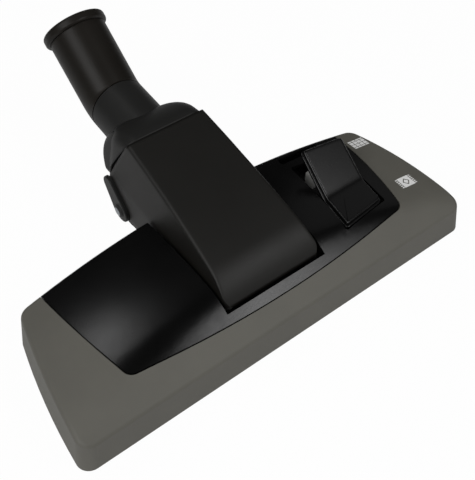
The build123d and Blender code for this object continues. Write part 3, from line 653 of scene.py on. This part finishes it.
# Rim from the underside to the top: how far it is drawn in, and how far it lies below the top.
PEDAL_RIM = np.array([(0.6, 4.6), (0.0, 4.2), (0.0, 2.9), (0.12, 2.5), (0.5, 2.3), (1.1, 2.25), (1.25, 1.9),
                      (1.25, 1.1), (1.38, 0.62), (1.7, 0.25), (2.1, 0.06), (2.6, 0.0)])
FACE_RINGS, SMALLEST_RING = 22, 0.02


def pedal_plate(outline):
    """Rings from the middle of the underside, out and round the rim, to the middle of the top."""
    along = np.roll(outline, -1, 0) - np.roll(outline, 1, 0)
    along /= np.linalg.norm(along, axis=1, keepdims=True)
    outward = np.stack([along[:, 1], -along[:, 0]], 1)
    rim = outline[None] - PEDAL_RIM[:, 0, None, None] * outward[None]
    middle = outline.mean(0)
    shrink = np.linspace(1, SMALLEST_RING, FACE_RINGS)[1:, None, None]
    under = (middle + (rim[:1] - middle) * shrink)[::-1]
    over = middle + (rim[-1:] - middle) * shrink
    plan = np.concatenate([under, rim, over])
    drop = np.concatenate([np.full(len(under), PEDAL_THICK), PEDAL_RIM[:, 1], np.zeros(len(over))])
    height = fold_height(plan[..., 1]) - drop[:, None]
    return closed_stack(np.concatenate([plan, height[..., None]], -1))


rocker_plate = pedal_plate(outline)
print("pedal plate:", len(rocker_plate[0]), "points,", len(PEDAL_RIM), "rings round its rim")

# %% [markdown]
# Under the plate sit the hub on the pin, three webs that carry the plate, and an arm with the nose that moves the
# brush frame. They could be shaped as finely as the top, but they are hidden from most sides, so rods and flat plates
# are enough.

# %% Pedal underside
PEDAL_AXIS_Y, PEDAL_AXIS_Z = -3.0, 29.0
HUB_X, HUB_RADIUS = (63.5, 88.0), 4.5
LIFTER_X, LIFTER_RADIUS = (65.5, 75.5), 2.5
LIFTER_Y, LIFTER_Z = PEDAL_AXIS_Y + 15.5, PEDAL_AXIS_Z - 2.0
WEB_STARTS, WEB_THICK, WEB_HALF = (63.5, 74.75, 86.0), 2.0, 4.4
WEB_TOP = ((8.0, FOLD_Z + 4.5), (-14.0, FOLD_Z - 3.0))
ARM_X, ARM_HALF, ARM_TIP_HALF = (65.5, 69.5), 3.0, 2.2

web = ((PEDAL_AXIS_Y - WEB_HALF, PEDAL_AXIS_Z), (PEDAL_AXIS_Y + WEB_HALF, PEDAL_AXIS_Z)) + WEB_TOP
arm = ((PEDAL_AXIS_Y, PEDAL_AXIS_Z - ARM_HALF), (LIFTER_Y, LIFTER_Z - ARM_TIP_HALF),
       (LIFTER_Y, LIFTER_Z + ARM_TIP_HALF), (PEDAL_AXIS_Y, PEDAL_AXIS_Z + ARM_HALF))
hub = rod((HUB_X[0], PEDAL_AXIS_Y, PEDAL_AXIS_Z), (HUB_X[1], PEDAL_AXIS_Y, PEDAL_AXIS_Z), HUB_RADIUS)
lifter = rod((LIFTER_X[0], LIFTER_Y, LIFTER_Z), (LIFTER_X[1], LIFTER_Y, LIFTER_Z), LIFTER_RADIUS)
webs = [plate(web, x, x + WEB_THICK) for x in WEB_STARTS]
rocker = joined(rocker_plate, hub, lifter, *webs, plate(arm, *ARM_X))
add_piece("pedal_rocker", rocker, "gloss_black", "pedal", ("pedal",), SHELL_SHARP)
print("pedal:", len(rocker[0]), "points,", len(webs), "webs under the plate")

# %% [markdown]
# ## Bristles
# Each row is a backing strip with hairs in tufts. A solid brush bar would look like a rubber lip from below. So every
# hair is a thin three-sided rod of its own, with a small lean and length drawn at random, and all are made at once.

# %% Bristle rows
TUFT_PITCH, TUFT_RADIUS, TUFT_MARGIN, HAIRS_PER_TUFT = 3.2, 0.9, 2.0, 22
HAIR_RADIUS, HAIR_ROOT, HAIR_LEAN, HAIR_SPREAD = 0.13, 1.0, (0.7, 0.18), 0.6
HAIR_POINTS, HAIR_ANGLES = 6, (0.0, 120.0, 240.0)
HAIR_SIDES, HAIR_ENDS = ((0, 1, 4, 3), (1, 2, 5, 4), (2, 0, 3, 5)), ((2, 1, 0), (3, 4, 5))


def bristle_row(low, high, seed):
    """Hairs: root in a round tuft, tip moved a little, three sides about both."""
    rng = np.random.default_rng(seed)
    tufts = np.arange(low[0] + TUFT_MARGIN, high[0] - TUFT_MARGIN, TUFT_PITCH)
    count = len(tufts) * HAIRS_PER_TUFT
    turn = rng.uniform(0, 2 * np.pi, count)
    reach = TUFT_RADIUS * np.sqrt(rng.uniform(0, 1, count))
    root_x = np.repeat(tufts, HAIRS_PER_TUFT) + reach * np.cos(turn)
    root_y = (low[1] + high[1]) / 2 + reach * np.sin(turn)
    root = np.stack([root_x, root_y, np.full(count, high[2] - HAIR_ROOT)], -1)
    lean = rng.uniform(-1, 1, (count, 2)) * HAIR_LEAN
    tip_z = low[2] + rng.uniform(0, HAIR_SPREAD, count)
    tip = np.stack([root_x + lean[:, 0], root_y + lean[:, 1], tip_z], -1)
    side = np.radians(HAIR_ANGLES)
    circle = HAIR_RADIUS * np.stack([np.cos(side), np.sin(side), 0 * side], -1)
    points = np.stack([tip, root], 1)[:, :, None] + circle
    first = np.arange(count)[:, None] * HAIR_POINTS
    sides = np.concatenate([first + corners for corners in HAIR_SIDES])
    ends = np.concatenate([first + corners for corners in HAIR_ENDS])
    return points.reshape(-1, 3), [sides, ends]


# %% Both rows
STRIP_HEIGHT = 1.5
ROW_SEEDS = {"front_bristles": 3, "rear_bristles": 4}

for row, seed in ROW_SEEDS.items():
    corners = np.array(frame["nodes"][row].bound_box) / MM
    low, high = corners.min(0), corners.max(0)
    strip_z = high[2] - STRIP_HEIGHT
    strip = ((low[1], strip_z), (high[1], strip_z), (high[1], high[2]), (low[1], high[2]))
    hairs = bristle_row(low, high, seed)
    add_piece(row + "_hairs", joined(hairs, plate(strip, low[0], high[0])), "bristle_black", "brush", (row,))
    print(row, "hairs:", len(hairs[0]) // HAIR_POINTS)

# %% [markdown]
# ## Floor
# The picture's ground is white paper. More lamps would bleach the head before the paper turned white. So the floor
# glows white to the camera and partly to mirrors, and takes the rest of its brightness from the lamps, so that the
# head still drops a soft shadow on it.

# %% Floor
FLOOR_HALF, FLOOR_Z = 4.0, -0.0003
GLOW_SHARE, MIRRORED_SHARE = 0.975, 0.3
GLOW_WHITE, PAPER_WHITE = rgb(1, 1, 1), rgb(0.8, 0.8, 0.8)


def floor_finish():
    """Mix of a white glow, seen by camera, glossy and transmission rays, and a pale matt paper that takes shadow."""
    finish = Finish("white_paper")
    seen = finish.make("ShaderNodeLightPath", out="Is Camera Ray")
    mirrored = finish.make("ShaderNodeLightPath", out="Is Glossy Ray")
    through = finish.make("ShaderNodeLightPath", out="Is Transmission Ray")
    glow = finish.make("ShaderNodeEmission", None, {"Color": GLOW_WHITE, "Strength": 1.0})
    paper = finish.make("ShaderNodeBsdfDiffuse", None, {"Color": PAPER_WHITE})
    factor = (seen + mirrored * MIRRORED_SHARE + through) * GLOW_SHARE
    mix = finish.make("ShaderNodeMixShader", None, {0: factor, 1: paper, 2: glow})
    finish.make("ShaderNodeOutputMaterial", None, {"Surface": mix})
    return finish.material


def add_floor():
    """One square sheet a hair under the sole."""
    mesh = bpy.data.meshes.new("paper_floor")
    corners = [(x * FLOOR_HALF, y * FLOOR_HALF, FLOOR_Z) for x, y in ((-1, -1), (1, -1), (1, 1), (-1, 1))]
    mesh.from_pydata(corners, [], [(0, 1, 2, 3)])
    mesh.materials.append(floor_finish())
    floor = bpy.data.objects.new("paper_floor", mesh)
    bpy.context.scene.collection.objects.link(floor)
    return floor


print("floor:", add_floor().name)

# %% [markdown]
# ## Light
# The highlights in the picture tell where its lamps stood. A broad main light came from the front left, a small one
# from the front right made the bright band in front of the hood, and another small one from behind made the spot on
# the panel's left. One even sky would lose all three. So there are soft boxes on a dome, and the world is nearly dark.

# %% Lamps and world
LAMP_TARGET = Vector((0.0, 0.03, 0.03))
LAMP_DISTANCE = 1.4
WORLD_WHITE, WORLD_STRENGTH = rgb(1, 1, 1), 0.04
# Name, azimuth and elevation in degrees, width in metres, power in watts.
SOFTBOXES = (
    ("key_softbox", -68.0, 43.0, 0.9, 10.8),
    ("left_softbox", -115.0, 50.0, 0.8, 1.3),
    ("right_softbox", 112.0, 42.0, 0.8, 0.45),
    ("front_softbox", 32.0, 46.0, 0.36, 3.9),
    ("low_softbox", 20.0, 34.0, 0.5, 2.2),
    ("rear_softbox", -164.0, 60.0, 0.26, 1.6),
)


def add_softbox(name, azimuth, elevation, width, power):
    """Square area lamp on a dome of LAMP_DISTANCE about the head, turned to its middle."""
    data = bpy.data.lights.new(name, "AREA")
    data.shape = "SQUARE"
    data.size = width
    data.energy = power
    outward = view_direction(azimuth, elevation)
    lamp = bpy.data.objects.new(name, data)
    lamp.location = LAMP_TARGET + outward * LAMP_DISTANCE
    lamp.rotation_euler = (-outward).to_track_quat("-Z", "Y").to_euler()
    bpy.context.scene.collection.objects.link(lamp)
    return lamp


lamps = [add_softbox(*row) for row in SOFTBOXES]
world = bpy.data.worlds.new("studio")
bpy.context.scene.world = world
world.use_nodes = True
sky = world.node_tree.nodes["Background"]
sky.inputs["Color"].default_value = WORLD_WHITE
sky.inputs["Strength"].default_value = WORLD_STRENGTH
bpy.context.scene.view_settings.view_transform = "Standard"
print("soft boxes:", len(lamps))
